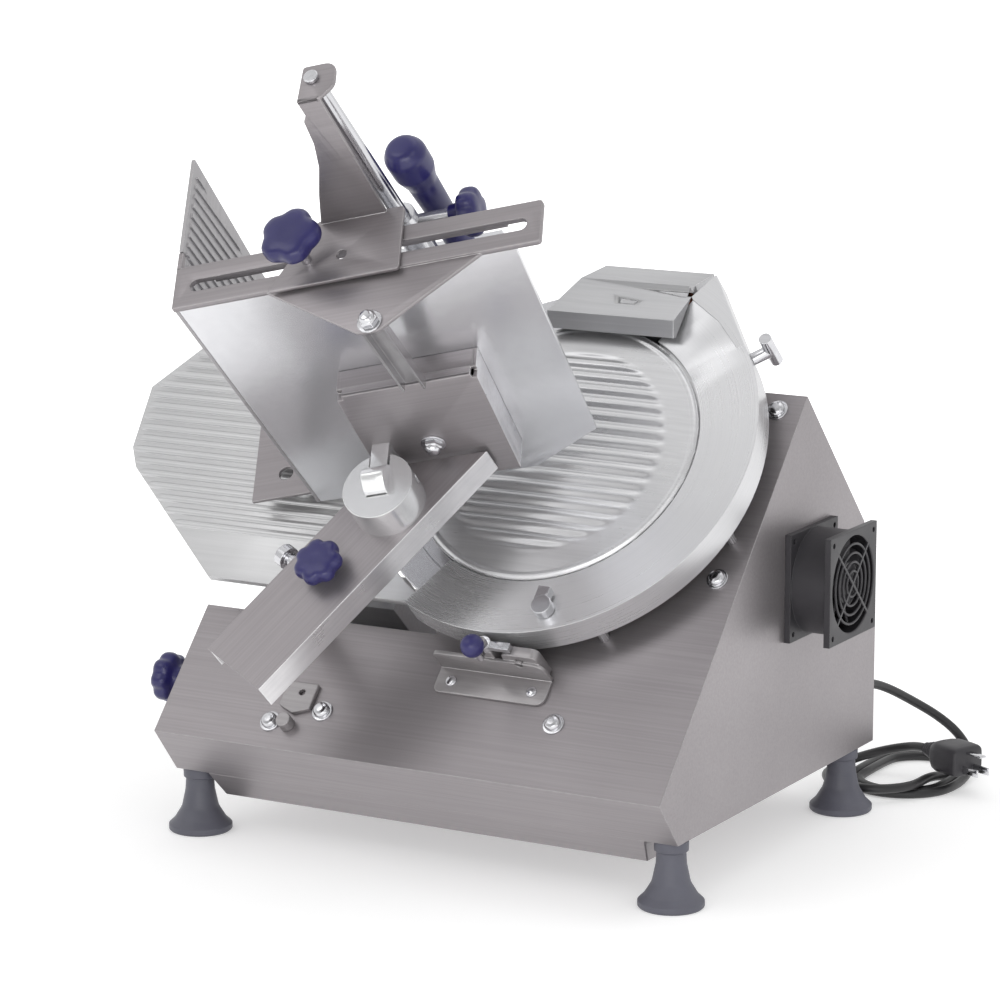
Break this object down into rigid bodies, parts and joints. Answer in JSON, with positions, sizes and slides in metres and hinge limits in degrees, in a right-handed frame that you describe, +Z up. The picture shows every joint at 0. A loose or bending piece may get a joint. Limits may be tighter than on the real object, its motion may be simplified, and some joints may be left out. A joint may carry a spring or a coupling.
{
  "type": "meat slicer",
  "caption": "Electric gravity-feed slicer: inclined round knife and gauge plate on a sheet metal housing, sliding carriage with food tray and pusher, mains cord and plug.",
  "frame": {"origin": "centre of the footprint of the machine without its cord, on the surface it stands on", "axes": "+X to the right of the person using it, along the carriage's travel; +Y to the back; +Z up"},
  "size_m": [0.6343, 0.6637, 0.6237],
  "materials": {
    "stainless": "fine brushed stainless sheet, satin",
    "cast_aluminium": "polished aluminium, anodised satin",
    "polished_steel": "bright polished steel",
    "knife_steel": "hard chromed and ground steel",
    "blue_plastic": "moulded dark blue plastic, satin gloss",
    "foot_plastic": "dark grey soft moulded foot",
    "black_plastic": "black moulded plastic",
    "fan_plastic": "black moulded fan housing",
    "start_plastic": "green push button",
    "stop_plastic": "red push button",
    "bearing_steel": "ground bearing rings",
    "motor_paint": "dark painted motor case",
    "pulley_metal": "turned aluminium",
    "belt_rubber": "ribbed rubber belt",
    "stone_grit": "fine grinding stone",
    "cord_jacket": "black mains cord jacket",
    "plug_plastic": "black moulded plug"
  },
  "bodies": {
    "root": {"base_housing": "stainless", "bottom_pan": "stainless", "foot_front_left": "foot_plastic", "foot_front_right": "foot_plastic", "foot_rear_left": "foot_plastic", "foot_rear_right": "foot_plastic", "housing_bolts": "polished_steel", "knife_hub": "cast_aluminium", "hub_bearings": "bearing_steel", "motor": "motor_paint", "motor_bracket": "bearing_steel", "drive_belt": "belt_rubber", "knife_cover": "cast_aluminium", "ring_guard": "cast_aluminium", "sharpener_housing": "cast_aluminium", "sharpening_stones": "stone_grit", "guard_bracket": "stainless", "ring_fittings": "polished_steel", "slice_deflector": "stainless", "stop_plate": "stainless", "guide_rod": "polished_steel", "rod_brackets": "bearing_steel", "gauge_bearing": "cast_aluminium", "fan_frame": "fan_plastic", "switch_plate": "black_plastic", "cord_gland": "black_plastic", "mains_cord": "cord_jacket", "cord_coil": "cord_jacket", "cord_tail": "cord_jacket", "mains_plug": "plug_plastic"},
    "knife_group": {"knife": "knife_steel", "knife_spindle": "bearing_steel", "knife_pulley": "pulley_metal"},
    "motor_shaft": {"motor_pulley": "pulley_metal"},
    "latch": {"latch_lever": "polished_steel", "latch_ball": "blue_plastic"},
    "rotor": {"fan_rotor": "fan_plastic"},
    "start": {"start_button": "start_plastic"},
    "stop": {"stop_button": "stop_plastic"},
    "dial": {"thickness_knob": "blue_plastic"},
    "gauge": {"gauge_plate": "cast_aluminium", "gauge_rods": "polished_steel"},
    "carriage": {"carriage_slide": "bearing_steel", "carriage_leg": "stainless", "carriage_arm": "stainless", "pivot_boss": "stainless", "arm_fittings": "polished_steel"},
    "arm_clamp": {"arm_knob": "blue_plastic"},
    "tray_group": {"tray": "cast_aluminium", "tray_bracket": "stainless", "tray_strut": "stainless", "slotted_bar": "stainless", "end_wall": "cast_aluminium", "acorn_nuts": "polished_steel"},
    "pusher_carrier": {"pusher_bracket": "stainless", "pusher_rod": "polished_steel"},
    "clamp": {"clamp_knob": "blue_plastic"},
    "pusher": {"pusher_plate": "cast_aluminium", "pusher_handle": "blue_plastic", "pusher_knob": "blue_plastic"}
  },
  "joints": [
    {"name": "knife_spin", "type": "hinge", "parent": "root", "child": "knife_group", "pos_m": [0.089, 0.04143, 0.30263], "axis": [0, -0.7385, 0.6743], "continuous": true},
    {"name": "motor_spin", "type": "hinge", "parent": "root", "child": "motor_shaft", "pos_m": [0.189, 0.062, 0.20801], "axis": [0, -0.7385, 0.6743], "continuous": true},
    {"name": "fan_spin", "type": "hinge", "parent": "root", "child": "rotor", "pos_m": [0.279, 0.129, 0.209], "axis": [1, 0, 0], "continuous": true},
    {"name": "latch_turn", "type": "hinge", "parent": "root", "child": "latch", "pos_m": [0.092, -0.08046, 0.18102], "axis": [0, -0.7385, 0.6743], "range_deg": [-60, 0]},
    {"name": "start_press", "type": "slide", "parent": "root", "child": "start", "axis": [1, 0, 0], "range_m": [0, 0.003], "stiffness_N_per_m": 500, "springref_m": -0.002},
    {"name": "stop_press", "type": "slide", "parent": "root", "child": "stop", "axis": [1, 0, 0], "range_m": [0, 0.003], "stiffness_N_per_m": 500, "springref_m": -0.002},
    {"name": "thickness_turn", "type": "hinge", "parent": "root", "child": "dial", "pos_m": [-0.185, -0.066, 0.117], "axis": [-1, 0, 0], "range_deg": [0, 300]},
    {"name": "gauge_slide", "type": "slide", "parent": "root", "child": "gauge", "axis": [0, -0.7385, 0.6743], "range_m": [-0.015, 0]},
    {"name": "carriage_travel", "type": "slide", "parent": "root", "child": "carriage", "axis": [1, 0, 0], "range_m": [-0.205, 0.05]},
    {"name": "arm_knob_turn", "type": "hinge", "parent": "carriage", "child": "arm_clamp", "pos_m": [-0.01272, -0.14207, 0.24257], "axis": [0, -0.7385, 0.6743], "range_deg": [0, 360]},
    {"name": "tray_tilt", "type": "hinge", "parent": "carriage", "child": "tray_group", "pos_m": [0.01666, -0.09867, 0.299], "axis": [0.9563, 0.1971, 0.2159], "range_deg": [0, 20]},
    {"name": "pusher_shift", "type": "slide", "parent": "tray_group", "child": "pusher_carrier", "axis": [0.9563, 0.1971, 0.2159], "range_m": [-0.06, 0.1]},
    {"name": "clamp_turn", "type": "hinge", "parent": "pusher_carrier", "child": "clamp", "pos_m": [0.00761, -0.2002, 0.48737], "axis": [0, -0.7385, 0.6743], "range_deg": [0, 360]},
    {"name": "pusher_slide", "type": "slide", "parent": "pusher_carrier", "child": "pusher", "axis": [0, -0.7385, 0.6743], "range_m": [-0.12, 0.1]}
  ],
  "couplings": [
    {"joint": "motor_spin", "follows": "knife_spin", "ratio": 2.75},
    {"joint": "thickness_turn", "follows": "gauge_slide", "rad_per_m": -349}
  ]
}
